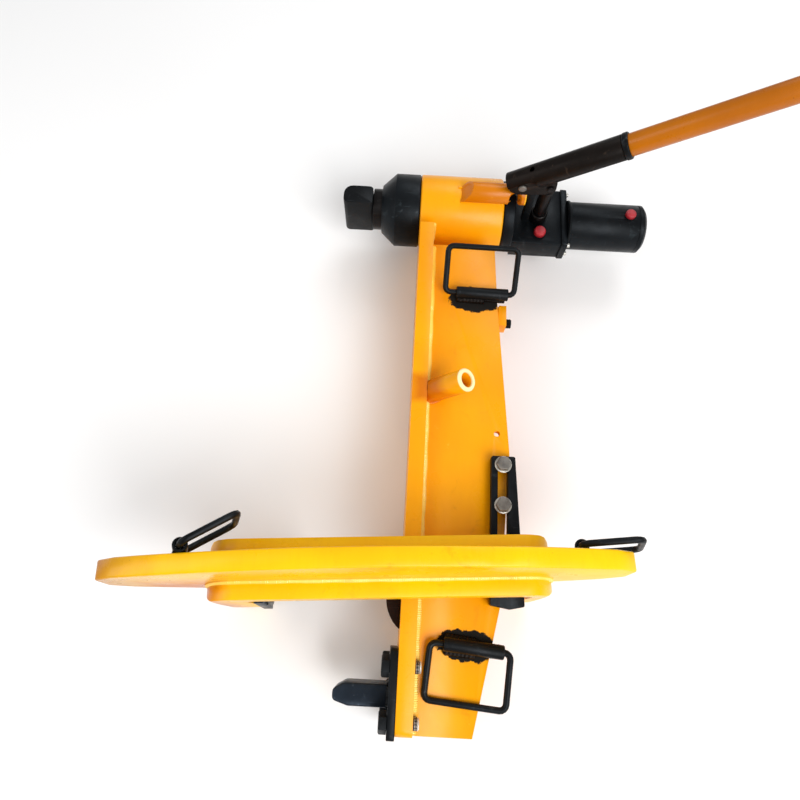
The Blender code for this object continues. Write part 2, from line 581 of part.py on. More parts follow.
def wedge(datum, black, steel):
    z0 = WEB_TOP + GAP
    outline = rounded([(WEDGE_X0, WEDGE_Y1, 0.002), (WEDGE_X0, WEDGE_Y0 + 0.004, 0.002),
                       ((WEDGE_X0 + WEDGE_NEAR_X1) / 2 + 0.004, WEDGE_Y0, 0.004),
                       (WEDGE_NEAR_X1, WEDGE_Y0 + 0.004, 0.002), (WEDGE_FAR_X1, WEDGE_Y1, 0.002)], 2)
    body = place("slotted_wedge", prism(outline, z0, z0 + WEDGE_T), black, datum)
    half = SLOT_W / 2
    slot = rounded([(SLOT_X - half, SLOT_Y0, half * 0.98), (SLOT_X + half, SLOT_Y0, half * 0.98),
                    (SLOT_X + half, SLOT_Y1, half * 0.98), (SLOT_X - half, SLOT_Y1, half * 0.98)], 6)
    cut(body, place("cut_slot", prism(slot, z0 - 0.01, z0 + WEDGE_T + 0.01), None, datum))
    for i, y in enumerate(WEDGE_BOLTS):
        top = z0 + WEDGE_T + GAP
        washer = tube(0.0115, 0.0065, (SLOT_X, y, top), 0.0022, "z", 20)
        place(f"wedge_washer_{i + 1}", washer, steel, datum)
        seat = (SLOT_X, y, top + 0.0022 + GAP)
        place(f"wedge_bolt_{i + 1}", hex_bolt(0.018, 0.0075, 0.006, 0.036, seat, "z", 1), steel, datum)


def edge_lug(datum, yellow, black):
    y0, y1 = 0.560, 0.592
    x0 = 0.1235
    place("edge_lug", box((x0, y0, 0.098), (x0 + 0.011, y1, 0.124)), yellow, datum)
    seat = (x0 + 0.011 + GAP, y0 + 0.009, 0.111)
    place("edge_lug_screw", hex_bolt(0.013, 0.008, 0.0035, 0.0001, seat, "x", 1), black, datum)


def handle_socket(datum, yellow):
    """Inclined tube on the web that holds a carrying bar; its foot is cut to the web and the flange."""
    tilt = math.radians(TUBE_TILT)
    mouth = Vector(TUBE_MOUTH)
    shape = tube(TUBE_R, TUBE_BORE, (-TUBE_L, 0, 0), TUBE_L, "x", 28, lip=0.0015)
    turn = Matrix.Translation(mouth) @ Matrix.Rotation(-tilt, 4, "Y")
    socket = place("carry_bar_socket", moved(shape, turn), yellow, datum)
    floor = box((-0.1, mouth.y - 0.05, 0.02), (0.2, mouth.y + 0.05, WEB_TOP + GAP))
    wall = box((-0.1, mouth.y - 0.06, 0.01), (FLANGE_T + GAP, mouth.y + 0.06, 0.3))
    cut(socket, place("cut_socket_floor", floor, None, datum))
    cut(socket, place("cut_socket_wall", wall, None, datum))


def loop_points(half, reach, bend, steps=4):
    """Closed rectangle of rod in the X-Y plane, hinged on the X axis."""
    corners = [(-half, 0, bend), (half, 0, bend), (half, reach, bend), (-half, reach, bend)]
    return [(a, b, 0.0) for a, b in rounded(corners, steps)]


def carry_handle(name, datum, centre, turn, lift, black):
    """Welded sleeve and the rod loop that turns in it."""
    z = WEB_TOP + SLEEVE_R + GAP
    frame = empty(f"{name}_frame", datum, (*centre, z), (0, 0, math.radians(turn)))
    start = (SLEEVE_SHIFT - SLEEVE_HALF, 0, 0)
    sleeve = tube(SLEEVE_R, SLEEVE_BORE, start, 2 * SLEEVE_HALF, "x", 20, lip=0.001)
    place(f"{name}_sleeve", sleeve, black, frame)
    hinge = empty(f"{name}_axis", frame, (0, 0, 0), (math.radians(-lift), 0, 0))
    rod_loop(f"{name}_loop", loop_points(LOOP_HALF, LOOP_LONG, 0.008), HANDLE_ROD_R, black, hinge, (0, 0, 0))


# --- yoke ---------------------------------------------------------------------------------------
def arc_height(x):
    """Half height of the lens at a station: a circle through its knees and its crown."""
    sagitta = LENS_RISE - LENS_KNEE_Z
    radius = (LENS_KNEE ** 2 + sagitta ** 2) / (2 * sagitta)
    return math.sqrt(radius ** 2 - x ** 2) - (radius - LENS_RISE)


def lens_outline():
    """Lens with two legs: over the top from right to left, then back along the underside."""
    steps = 20
    top = [(LENS_KNEE * (1 - 2 * i / steps), arc_height(LENS_KNEE * (1 - 2 * i / steps)), 0)
           for i in range(steps + 1)]
    left_end = [(-LENS_HALF, LENS_END_Z, 0.010), (-LENS_HALF, -LENS_END_Z, 0.010)]
    right_end = [(LENS_HALF, -LENS_END_Z, 0.010), (LENS_HALF, LENS_END_Z, 0.010)]
    wing = 3
    left = [(-LENS_KNEE + (LEG_X0 + LENS_KNEE) * i / wing,) for i in range(wing + 1)]
    left = [(x, -arc_height(x), 0) for (x,) in left]
    right = [(LEG_X1 + (LENS_KNEE - LEG_X1) * i / wing,) for i in range(wing + 1)]
    right = [(x, -arc_height(x), 0) for (x,) in right]
    legs = [(LEG_X0, LEG_Z, 0.014), (WINDOW_X0, LEG_Z, 0.008), (WINDOW_X0, WINDOW_Z, 0.020),
            (WINDOW_X1, WINDOW_Z, 0.020), (WINDOW_X1, LEG_Z, 0.008), (LEG_X1, LEG_Z, 0.014)]
    return rounded(top + left_end + left + legs + right + right_end, 4)


def cheek_outline():
    return rounded([(LEG_X1, CHEEK_TOP, CHEEK_CORNER), (LEG_X0, CHEEK_TOP, CHEEK_CORNER),
                    (LEG_X0, LEG_Z, 0.014), (WINDOW_X0, LEG_Z, 0.008), (WINDOW_X0, WINDOW_Z, 0.020),
                    (WINDOW_X1, WINDOW_Z, 0.020), (WINDOW_X1, LEG_Z, 0.008), (LEG_X1, LEG_Z, 0.014)], 5)


def yoke(datum, yellow, black, steel):
    lean, yaw = math.radians(YOKE_LEAN), math.radians(YOKE_YAW)
    frame = empty("yoke_axis", datum, YOKE_ORIGIN, (lean, 0, yaw))
    place("yoke_centre_plate", prism(lens_outline(), 0, LENS_T, "y"), yellow, frame)
    for name, inner, thick, side in (("yoke_near_cheek", -GAP, NEAR_CHEEK_T, -1),
                                     ("yoke_far_cheek", LENS_T + GAP, FAR_CHEEK_T, 1)):
        outer = inner + side * thick
        low, high = sorted((inner, outer))
        cheek = place(name, prism(cheek_outline(), low, high, "y"), yellow, frame)
        foot = inner + side * CHEEK_FOOT_T
        past = outer + side * 0.02
        taper = prism([(outer, WINDOW_Z), (foot, LEG_Z - 0.002), (foot, LEG_Z - 0.01), (past, LEG_Z - 0.01),
                       (past, WINDOW_Z)], LEG_X0 - 0.02, LEG_X1 + 0.02, "x")
        cut(cheek, place(f"cut_{name}", taper, None, frame))
        plan = rounded([(LEG_X0, inner - side * 0.02, 0), (LEG_X1, inner - side * 0.02, 0),
                        (LEG_X1, outer, CHEEK_ROUND), (LEG_X0, outer, CHEEK_ROUND)], 4)
        keep = prism(plan, LEG_Z - 0.01, CHEEK_TOP + 0.01)
        cut(cheek, place(f"keep_{name}", keep, None, frame), "INTERSECT")
    yoke_jaw(frame, black, steel)
    yoke_handle("yoke_left", frame, (-0.2145, 0.042), 1, 31.0, black)
    yoke_handle("yoke_right", frame, (0.262, -0.008), -1, 1.0, black)


def yoke_jaw(frame, black, steel):
    """Jaw bolted inside the left leg; it reaches over the rail's foot to its web."""
    y0, y1 = -0.018, 0.041
    face = WINDOW_X0 + GAP
    root = face + 0.012
    z0, z1 = -0.166, -0.084
    plan = rounded([(face, y0, 0), (root, y0, 0), (root, y0 + 0.014, 0), (-0.088, y0 + 0.014, 0.008),
                    (-0.076, y0 + 0.022, 0.005), (-0.076, y1 - 0.022, 0.005), (-0.088, y1 - 0.014, 0.008),
                    (root, y1 - 0.014, 0), (root, y1, 0), (face, y1, 0)], 3)
    jaw = place("yoke_jaw", prism(plan, z0, z1), black, frame)
    spots = ((y0 + 0.0075, -0.125), (y1 - 0.0075, -0.125))
    holes = [cylinder(0.0052, (face - 0.02, y, z), 0.05, "x", 12) for y, z in spots]
    cut(jaw, place("cut_jaw_holes", joined(holes), None, frame))
    for i, (y, z) in enumerate(spots):
        screw = hex_bolt(0.0105, 0.007, 0.0048, 0.0115, (root + GAP, y, z), "x", 1)
        place(f"yoke_jaw_screw_{i + 1}", screw, steel, frame)


def yoke_handle(name, frame, spot, splay, swing, black):
    """Sleeve welded on the wing's far face, and its loop; splay tips the sleeve's foot outward."""
    x, z = spot
    y = LENS_T + YOKE_SLEEVE_R + GAP
    tilt = math.radians(YOKE_SPLAY * splay)
    holder = empty(f"{name}_frame", frame, (x, y, z), (0, tilt, 0))
    sleeve = tube(YOKE_SLEEVE_R, YOKE_SLEEVE_BORE, (0, 0, -YOKE_SLEEVE_HALF), 2 * YOKE_SLEEVE_HALF, "z", 18,
                  lip=0.001)
    place(f"{name}_sleeve", sleeve, black, holder)
    hinge = empty(f"{name}_axis", holder, (0, 0, 0), (0, 0, math.radians(swing)))
    corners = [(0, -YOKE_LOOP_HALF, 0.011), (YOKE_LOOP_LONG, -YOKE_LOOP_HALF, 0.011),
               (YOKE_LOOP_LONG, YOKE_LOOP_HALF, 0.011), (0, YOKE_LOOP_HALF, 0.011)]
    points = [(a, 0.0, b) for a, b in rounded(corners, 4)]
    rod_loop(f"{name}_loop", points, YOKE_ROD_R, black, hinge, (0, 0, 0))


def main():
    for old in list(bpy.data.objects):
        bpy.data.objects.remove(old, do_unlink=True)
    yellow = material("yellow_paint", YELLOW, 0.35, 0.0)
    black = material("black_oxide", BLACK, 0.45, 0.6)
    steel = material("zinc_steel", STEEL, 0.35, 1.0)
    brown = material("oxide_brown", BROWN, 0.5, 0.6)
    red = material("red_plastic", RED, 0.4, 0.0)
    rubber = material("rubber", RUBBER, 0.7, 0.0)

    datum = empty("beam_datum", None, (-ORIGIN_X, -ORIGIN_Y, 0))
    barrel = barrel_cutter(datum)
    holes = anvil_hole_cutter(datum)
    flange_plate(datum, yellow, barrel, holes)
    web_plates(datum, yellow)
    web_ribs(datum, yellow)
    barrel_saddle(datum, yellow, barrel)
    cylinder_barrel(datum, yellow)
    gland_collar(datum, black)
    ram(datum, steel, black, rubber)
    return_spring(datum, steel)
    pump_body(datum, black, steel, red)
    release_valve(datum, black)
    hand_lever(datum, black, steel, yellow)
    plunger(datum, steel)
    fulcrum_arm(datum, yellow, barrel)
    anvil(datum, black, steel, holes)
    guide_pad(datum, brown)
    wedge(datum, black, steel)
    edge_lug(datum, yellow, black)
    handle_socket(datum, yellow)
    carry_handle("near_carry", datum, NEAR_CARRY, NEAR_TURN, NEAR_LIFT, black)
    carry_handle("far_carry", datum, FAR_CARRY, FAR_TURN, FAR_LIFT, black)
    yoke(datum, yellow, black, steel)
    bpy.context.view_layer.update()


main()
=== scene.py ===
"""Scene for the hydraulic rail bender: finishes, welds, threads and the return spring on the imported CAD.

Everything is placed in the CAD's own frame, in metres.  Beam coordinates, used by the helpers below,
start at the flange's rail-side, anvil-end, floor corner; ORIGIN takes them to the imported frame.
"""
import math
import random

import bmesh
import bpy
from mathutils import Matrix, Vector


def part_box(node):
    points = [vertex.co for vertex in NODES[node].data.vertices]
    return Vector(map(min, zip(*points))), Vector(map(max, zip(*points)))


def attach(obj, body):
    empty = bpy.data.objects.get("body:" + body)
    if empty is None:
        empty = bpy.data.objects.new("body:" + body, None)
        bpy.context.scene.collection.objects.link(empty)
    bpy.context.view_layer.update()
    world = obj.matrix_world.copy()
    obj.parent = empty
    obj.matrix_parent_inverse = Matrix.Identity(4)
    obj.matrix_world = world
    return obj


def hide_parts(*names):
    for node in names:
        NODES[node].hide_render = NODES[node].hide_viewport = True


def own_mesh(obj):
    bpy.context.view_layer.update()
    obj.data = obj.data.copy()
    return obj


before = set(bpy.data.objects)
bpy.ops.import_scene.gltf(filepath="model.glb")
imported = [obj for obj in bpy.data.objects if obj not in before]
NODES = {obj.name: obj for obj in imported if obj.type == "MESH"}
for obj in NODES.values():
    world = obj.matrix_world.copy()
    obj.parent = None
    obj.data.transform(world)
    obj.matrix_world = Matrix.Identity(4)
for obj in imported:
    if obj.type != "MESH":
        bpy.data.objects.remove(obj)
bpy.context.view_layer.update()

ORIGIN = Vector((-0.070, -0.380, 0.0))

# --- material helpers ---------------------------------------------------------------------------


def srgb(r, g, b):
    """Linear RGBA from 0-255 display values."""
    def one(c):
        c /= 255
        return c / 12.92 if c <= 0.04045 else ((c + 0.055) / 1.055) ** 2.4
    return one(r), one(g), one(b), 1.0


class Tree:
    """A material's node tree, with short ways to add what these finishes use."""

    def __init__(self, name):
        self.material = bpy.data.materials.new(name)
        self.material.use_nodes = True
        self.nodes = self.material.node_tree.nodes
        self.links = self.material.node_tree.links
        self.shader = self.nodes["Principled BSDF"]
        self.place = self.add("ShaderNodeTexCoord").outputs["Object"]

    def add(self, kind, **values):
        node = self.nodes.new(kind)
        for key, value in values.items():
            setattr(node, key, value)
        return node

    def put(self, socket, value):
        if isinstance(value, bpy.types.NodeSocket):
            self.links.new(value, socket)
        else:
            socket.default_value = value

    def stretch(self, scale):
        node = self.add("ShaderNodeMapping")
        self.put(node.inputs["Vector"], self.place)
        node.inputs["Scale"].default_value = scale
        return node.outputs["Vector"]

    def local(self, centre, turn):
        """Coordinates from a point, along axes turned by Euler angles."""
        node = self.add("ShaderNodeMapping", vector_type="TEXTURE")
        self.put(node.inputs["Vector"], self.place)
        node.inputs["Location"].default_value = centre
        node.inputs["Rotation"].default_value = turn
        return node.outputs["Vector"]

    def noise(self, scale, detail=4.0, rough=0.55, vector=None, distortion=0.0):
        node = self.add("ShaderNodeTexNoise")
        self.put(node.inputs["Vector"], vector or self.place)
        node.inputs["Scale"].default_value = scale
        node.inputs["Detail"].default_value = detail
        node.inputs["Roughness"].default_value = rough
        node.inputs["Distortion"].default_value = distortion
        return node.outputs["Fac"]

    def cells(self, scale, vector=None):
        node = self.add("ShaderNodeTexVoronoi")
        self.put(node.inputs["Vector"], vector or self.place)
        node.inputs["Scale"].default_value = scale
        return node.outputs["Distance"]

    def ramp(self, value, stops):
        """Colour ramp; a stop is (position, grey or colour)."""
        node = self.add("ShaderNodeValToRGB")
        self.put(node.inputs["Fac"], value)
        elements = node.color_ramp.elements
        while len(elements) < len(stops):
            elements.new(0.5)
        for element, (position, colour) in zip(elements, stops):
            element.position = position
            element.color = colour if isinstance(colour, tuple) else (colour, colour, colour, 1)
        return node.outputs["Color"]

    def mix(self, amount, a, b, how="MIX"):
        node = self.add("ShaderNodeMix", data_type="RGBA", blend_type=how)
        self.put(node.inputs["Factor"], amount)
        self.put(node.inputs[6], a)
        self.put(node.inputs[7], b)
        return node.outputs[2]

    def maths(self, how, a, b=0.0):
        node = self.add("ShaderNodeMath", operation=how)
        self.put(node.inputs[0], a)
        self.put(node.inputs[1], b)
        return node.outputs[0]

    def bump(self, height, strength, distance, below=None):
        node = self.add("ShaderNodeBump")
        node.inputs["Strength"].default_value = strength
        node.inputs["Distance"].default_value = distance
        self.put(node.inputs["Height"], height)
        if below is not None:
            self.put(node.inputs["Normal"], below)
        return node.outputs["Normal"]

    def patch(self, centre, half, turn, ragged, scale, soft=0.06, oval=False):
        """1 inside a box or an ellipsoid round a point, 0 outside, with a ragged edge."""
        local = self.local(centre, turn)
        size = self.add("ShaderNodeVectorMath", operation="ABSOLUTE")
        self.put(size.inputs[0], local)
        share = self.add("ShaderNodeVectorMath", operation="DIVIDE")
        self.put(share.inputs[0], size.outputs[0])
        share.inputs[1].default_value = half
        parts = self.add("ShaderNodeSeparateXYZ")
        self.put(parts.inputs[0], share.outputs[0])
        across = self.maths("MAXIMUM", parts.outputs[0], parts.outputs[1])
        reach = self.maths("MAXIMUM", across, parts.outputs[2])
        if oval:
            length = self.add("ShaderNodeVectorMath", operation="LENGTH")
            self.put(length.inputs[0], share.outputs[0])
            reach = length.outputs["Value"]
        wobble = self.maths("MULTIPLY", self.maths("SUBTRACT", self.noise(scale, 5, 0.65), 0.5), ragged)
        return self.ramp(self.maths("ADD", reach, wobble), [(1.0 - soft, 1.0), (1.0, 0.0)])

    def finish(self, colour, rough, metallic=0.0, normal=None, coat=0.0, specular=0.5):
        self.put(self.shader.inputs["Base Color"], colour)
        self.put(self.shader.inputs["Roughness"], rough)
        self.shader.inputs["Metallic"].default_value = metallic
        self.shader.inputs["Coat Weight"].default_value = coat
        self.shader.inputs["Coat Roughness"].default_value = 0.12
        self.shader.inputs["Specular IOR Level"].default_value = specular
        if normal is not None:
            self.put(self.shader.inputs["Normal"], normal)
        return self.material


def paint(name, light, deep, patches=(), tints=(), coat=0.0, wear=0.5, rubs=0.30):
    """Brushed-on glossy enamel: uneven tone, orange peel, sags, small chips down to dark steel."""
    t = Tree(name)
    tone = t.ramp(t.noise(6.0, 3, 0.5), [(0.35, 0.0), (0.68, 1.0)])
    streak = t.noise(1.0, 4, 0.6, t.stretch((160, 22, 60)))
    base = t.mix(tone, light, deep)
    base = t.mix(t.ramp(streak, [(0.42, 0.0), (0.75, 0.07)]), base, srgb(214, 118, 4))
    dirt = t.ramp(t.noise(34, 6, 0.7, distortion=0.6), [(0.60, 0.0), (0.80, 0.40)])
    base = t.mix(dirt, base, srgb(176, 100, 8))
    rub = t.ramp(t.noise(90, 3, 0.6), [(0.70, 0.0), (0.78, rubs)])
    base = t.mix(rub, base, srgb(255, 206, 80))
    # Tints are flat colour patches over the tone; the calls below use them for painted shade, painted
    # highlight and painted sheen.
    for colour, centre, half, turn, ragged, soft in tints:
        base = t.mix(t.patch(centre, half, turn, ragged, 22, soft), base, colour)
    spots = t.ramp(t.cells(75), [(0.035, 1.0), (0.060, 0.0)])
    where = t.ramp(t.noise(18, 2, 0.5), [(0.62 - 0.06 * wear, 0.0), (0.66, 1.0)])
    chips = t.mix(1.0, spots, where, "MULTIPLY")
    base = t.mix(chips, base, srgb(52, 36, 22))
    rough = t.ramp(t.noise(26, 4, 0.6), [(0.3, 0.24), (0.8, 0.42)])
    for centre, half, turn in patches:
        mask = t.patch(centre, half, turn, 0.8, 70, oval=True)
        soot = t.mix(t.noise(140, 3, 0.5), srgb(9, 8, 7), srgb(26, 21, 15))
        base = t.mix(mask, base, soot)
        rough = t.mix(mask, rough, (0.85, 0.85, 0.85, 1))
    peel = t.bump(t.noise(420, 2, 0.5), 0.10, 0.0004)
    waves = t.bump(t.noise(48, 3, 0.5), 0.16, 0.0012, peel)
    dents = t.bump(chips, -0.5, 0.0006, waves)
    return t.finish(base, rough, normal=dents, coat=coat, specular=0.24)


def oxide(name, dark, light, sheen, rough=(0.34, 0.58), metallic=0.55, grain=240):
    """Blackened steel: mottled blue-black, rubbed lighter in places, fine scratches."""
    t = Tree(name)
    base = t.mix(t.ramp(t.noise(14, 5, 0.6), [(0.35, 0.0), (0.7, 1.0)]), dark, light)
    rubbed = t.ramp(t.noise(55, 6, 0.7, distortion=0.8), [(0.60, 0.0), (0.74, 0.5)])
    base = t.mix(rubbed, base, sheen)
    scratch = t.ramp(t.noise(1.0, 2, 0.6, t.stretch((30, 700, 700))), [(0.69, 0.0), (0.76, 0.35)])
    base = t.mix(scratch, base, sheen)
    speck = t.ramp(t.cells(160), [(0.030, 0.35), (0.055, 0.0)])
    base = t.mix(speck, base, srgb(96, 74, 54))
    gloss = t.ramp(t.noise(38, 4, 0.6), [(0.3, rough[0]), (0.75, rough[1])])
    grains = t.bump(t.noise(grain, 4, 0.6), 0.16, 0.0006)
    pits = t.bump(t.noise(60, 4, 0.6), 0.18, 0.0010, grains)
    return t.finish(base, gloss, metallic, pits, specular=0.2)


def zinc(name, bright, dull, rough=(0.24, 0.48)):
    """Zinc-plated or machined steel: turned marks, dull bloom and a little oil."""
    t = Tree(name)
    base = t.mix(t.ramp(t.noise(90, 4, 0.6), [(0.35, 0.0), (0.7, 1.0)]), bright, dull)
    bloom = t.ramp(t.cells(130), [(0.05, 0.5), (0.25, 0.0)])
    base = t.mix(bloom, base, srgb(110, 106, 98))
    oil = t.ramp(t.noise(40, 3, 0.5), [(0.62, 0.0), (0.72, 0.5)])
    base = t.mix(oil, base, srgb(60, 50, 40))
    gloss = t.ramp(t.noise(60, 3, 0.5), [(0.3, rough[0]), (0.8, rough[1])])
    marks = t.bump(t.noise(1.0, 2, 0.5, t.stretch((900, 900, 900))), 0.08, 0.0003)
    return t.finish(base, gloss, 0.45, marks)


def plastic(name, colour, deep, rough=0.38):
    t = Tree(name)
    base = t.mix(t.ramp(t.noise(60, 3, 0.5), [(0.35, 0.0), (0.7, 1.0)]), colour, deep)
    dust = t.ramp(t.noise(220, 5, 0.7), [(0.58, 0.0), (0.75, 0.4)])
    base = t.mix(dust, base, srgb(150, 110, 105))
    gloss = t.ramp(t.noise(90, 3, 0.5), [(0.3, rough), (0.8, rough + 0.2)])
    return t.finish(base, gloss, normal=t.bump(t.noise(500, 2, 0.5), 0.12, 0.0003))


def beam_point(x, y, z):
    return Vector((x, y, z)) + ORIGIN


NEAR_CARRY, NEAR_TURN = (0.089, 0.111), math.radians(-5.0)
FAR_CARRY, FAR_TURN = (0.092, 0.602), math.radians(-0.5)
WEB_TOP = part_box("top_web_plate")[1].z

near_soot = (tuple(beam_point(0.085, 0.113, WEB_TOP)), (0.041, 0.0200, 0.030), (0, 0, NEAR_TURN))
far_soot = (tuple(beam_point(0.087, 0.596, WEB_TOP)), (0.040, 0.0210, 0.030), (0, 0, FAR_TURN))

TUBE_TILT = math.radians(51.0)
TUBE_MOUTH = beam_point(0.072, 0.447, 0.190)
# Painted highlight: a cream band across the socket's mouth rim, where the light catches it.
LIP_PAINTED_HIGHLIGHT = (srgb(250, 232, 176), tuple(TUBE_MOUTH), (0.0032, 0.04, 0.04), (0, -TUBE_TILT, 0), 0.5, 0.3)
# Painted shade: the lower left of the socket's body darker orange, where it lies in shadow.
TUBE_PAINTED_SHADE = (srgb(206, 112, 4), tuple(beam_point(0.036, 0.447, 0.150)), (0.05, 0.025, 0.030), (0, 0, 0),
              0.3, 0.5)
# Painted shade: the yoke's left end darker and browner, where its surfaces turn away from the light.
YOKE_LEFT_PAINTED_SHADE = (srgb(180, 104, 26), (-0.50, -0.19, 0.24), (0.16, 0.2, 0.2), (0, 0, 0), 0.5, 0.75)
# Painted shade: a darker patch on the near cheek's left end.
CHEEK_LEFT_PAINTED_SHADE = (srgb(206, 116, 8), (-0.335, -0.22, 0.10), (0.062, 0.06, 0.13), (0, 0, 0), 0.3, 0.5)
# Painted sheen: a paler, greyer patch on the right wing's near face, as if lit by light reflected off it.
WING_PAINTED_SHEEN = (srgb(216, 186, 120), (0.20, -0.19, 0.20), (0.105, 0.010, 0.050), (0, 0, math.radians(4)),
             0.6, 0.6)

# The yellow enamel carries the socket's painted highlight and painted shade.
YELLOW = paint("yellow_enamel", srgb(248, 170, 3), srgb(240, 154, 2), tints=(LIP_PAINTED_HIGHLIGHT, TUBE_PAINTED_SHADE))
WEB_YELLOW = paint("yellow_enamel_sooted", srgb(248, 168, 3), srgb(240, 152, 2), (near_soot, far_soot))
# Painted light: the yoke's copy of the yellow enamel is brighter, as its surfaces face the light more; it
# also carries the painted shade and painted sheen patches above.
YOKE_LIT_YELLOW = paint("yellow_enamel_yoke_painted_light", srgb(253, 198, 3), srgb(249, 182, 2),
                    tints=(YOKE_LEFT_PAINTED_SHADE, CHEEK_LEFT_PAINTED_SHADE, WING_PAINTED_SHEEN), wear=1.0)
# The yellow enamel, darker and more orange, on the handle pipe.
PIPE_DARK_YELLOW = paint("darker_yellow_enamel_pipe", srgb(184, 105, 5), srgb(164, 89, 3), rubs=0.0)
# Painted light: the barrel arm's end keeps a lighter yellow, where the pump lever's shadow ends.
ARM_LIT_END = (srgb(246, 178, 20), tuple(beam_point(0.160, 0.767, 0.153)), (0.0045, 0.03, 0.03), (0, 0, 0),
           0.4, 0.4)
# Painted shadow: the barrel arm's enamel is a darker orange copy of the yellow, for the pump lever's shadow
# over it.
ARM_SHADOWED_YELLOW = paint("yellow_enamel_arm_painted_shadow", srgb(216, 128, 6), srgb(192, 104, 4), tints=(ARM_LIT_END,))
# Painted highlight: a pale cream copy of the yellow enamel for welds along lit edges.
SEAM_HIGHLIGHT_YELLOW = paint("yellow_enamel_seams_painted_highlight", srgb(255, 224, 116), srgb(255, 204, 70), coat=0.4)
BLACK = oxide("black_oxide_steel", srgb(16, 18, 20), srgb(30, 33, 36), srgb(78, 84, 88))
CAST_BLACK = oxide("blue_black_oxide_steel", srgb(14, 17, 20), srgb(25, 30, 34), srgb(64, 74, 78),
                   (0.36, 0.52))
BLUE_BLACK = oxide("blue_oxide_steel", srgb(26, 32, 40), srgb(44, 54, 66), srgb(104, 120, 138), (0.30, 0.48))
BROWN_BLACK = oxide("brown_oxide_steel", srgb(19, 15, 13), srgb(32, 25, 21), srgb(82, 66, 54), (0.36, 0.56))
PAD_BROWN = oxide("pad_brown_steel", srgb(34, 22, 16), srgb(56, 36, 26), srgb(96, 76, 62), (0.42, 0.62))
ROD_BLACK = oxide("worn_black_rod", srgb(22, 20, 20), srgb(38, 36, 36), srgb(130, 128, 126), (0.26, 0.42),
                  0.7)
ZINC = zinc("zinc_plated_steel", srgb(206, 204, 196), srgb(150, 148, 142))
BRIGHT_ZINC = zinc("bright_zinc_steel", srgb(240, 238, 230), srgb(206, 204, 196))
GREY_STEEL = zinc("dull_grey_steel", srgb(128, 124, 118), srgb(92, 88, 84), (0.34, 0.55))
RED = plastic("red_plastic", srgb(176, 34, 44), srgb(140, 20, 32))
RUBBER = plastic("black_rubber", srgb(22, 22, 22), srgb(32, 32, 32), 0.6)

# --- CAD nodes: finish and softened edges --------------------------------------------------------

FINISHES = {
    YELLOW: ["flange_plate", "web_rib_1", "web_rib_2", "barrel_saddle", "cylinder_barrel",
             "bottom_web_plate", "carry_bar_socket", "edge_lug"],
    WEB_YELLOW: ["top_web_plate"],
    # The yoke's finish is the yellow enamel with painted light, painted shade and painted sheen.
    YOKE_LIT_YELLOW: ["yoke_centre_plate", "yoke_near_cheek", "yoke_far_cheek"],
    PIPE_DARK_YELLOW: ["handle_pipe"],
    # The barrel arm's finish carries the painted shadow of the pump lever.
    ARM_SHADOWED_YELLOW: ["barrel_arm"],
    CAST_BLACK: ["gland_collar", "rear_ring", "pump_block", "tank_flange", "tank_cap", "oil_tank"],
    BLUE_BLACK: ["anvil_nose", "yoke_jaw"],
    BROWN_BLACK: ["lever_socket", "lever_cheek_near", "lever_cheek_far"],
    PAD_BROWN: ["guide_pad"],
    ROD_BLACK: ["ram_rod", "piston", "pump_plunger", "plunger_gland", "plunger_pin"],
    ZINC: ["return_spring", "wedge_washer_1", "wedge_washer_2"],
    GREY_STEEL: ["fulcrum_pin", "wedge_bolt_1", "wedge_bolt_2", "yoke_jaw_screw_1",
                 "yoke_jaw_screw_2"],
    RED: ["filler_plug", "port_plug"],
    RUBBER: ["piston_seal"],
}
FINISH_OF = {node: finish for finish, names in FINISHES.items() for node in names}
EDGE = {"flange_plate": 0.0012, "top_web_plate": 0.0010, "bottom_web_plate": 0.0010,
        "yoke_centre_plate": 0.0022, "yoke_near_cheek": 0.0018, "yoke_far_cheek": 0.0018,
        "anvil_nose": 0.0020, "ram_head": 0.0022,
        "anvil_plate": 0.0010, "slotted_wedge": 0.0010, "pump_block": 0.0010, "tank_flange": 0.0012,
        "yoke_jaw": 0.0012, "guide_pad": 0.0012}


def soften(node, width):
    """Weld, dissolve flat triangles and round the edges, as modifiers; the CAD mesh stays as it is."""
    mesh = node.data
    for face in mesh.polygons:
        face.use_smooth = True
    weld = node.modifiers.new("weld", "WELD")
    weld.merge_threshold = 0.00001
    flat = node.modifiers.new("flat", "DECIMATE")
    flat.decimate_type = "DISSOLVE"
    flat.angle_limit = math.radians(0.5)
    round_edge = node.modifiers.new("round_edge", "BEVEL")
    round_edge.width = width
    round_edge.segments = 2
    round_edge.limit_method = "ANGLE"
    round_edge.angle_limit = math.radians(32)
    round_edge.harden_normals = True
    round_edge.use_clamp_overlap = True


for name, node in NODES.items():
    node.data.materials.clear()
    node.data.materials.append(FINISH_OF.get(name, BLACK))
    soften(node, EDGE.get(name, 0.0005))

# --- mesh helpers -------------------------------------------------------------------------------


def piece(name, bm, body, finish, smooth=True):
    """Object from a bmesh, riding on a CAD body."""
    bmesh.ops.recalc_face_normals(bm, faces=bm.faces)
    mesh = bpy.data.meshes.new(name)
    bm.to_mesh(mesh)
    bm.free()
    for face in mesh.polygons:
        face.use_smooth = smooth
    mesh.set_sharp_from_angle(angle=math.radians(38))
    mesh.materials.append(finish)
    obj = bpy.data.objects.new(name, mesh)
    bpy.context.scene.collection.objects.link(obj)
    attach(obj, body)
    return obj


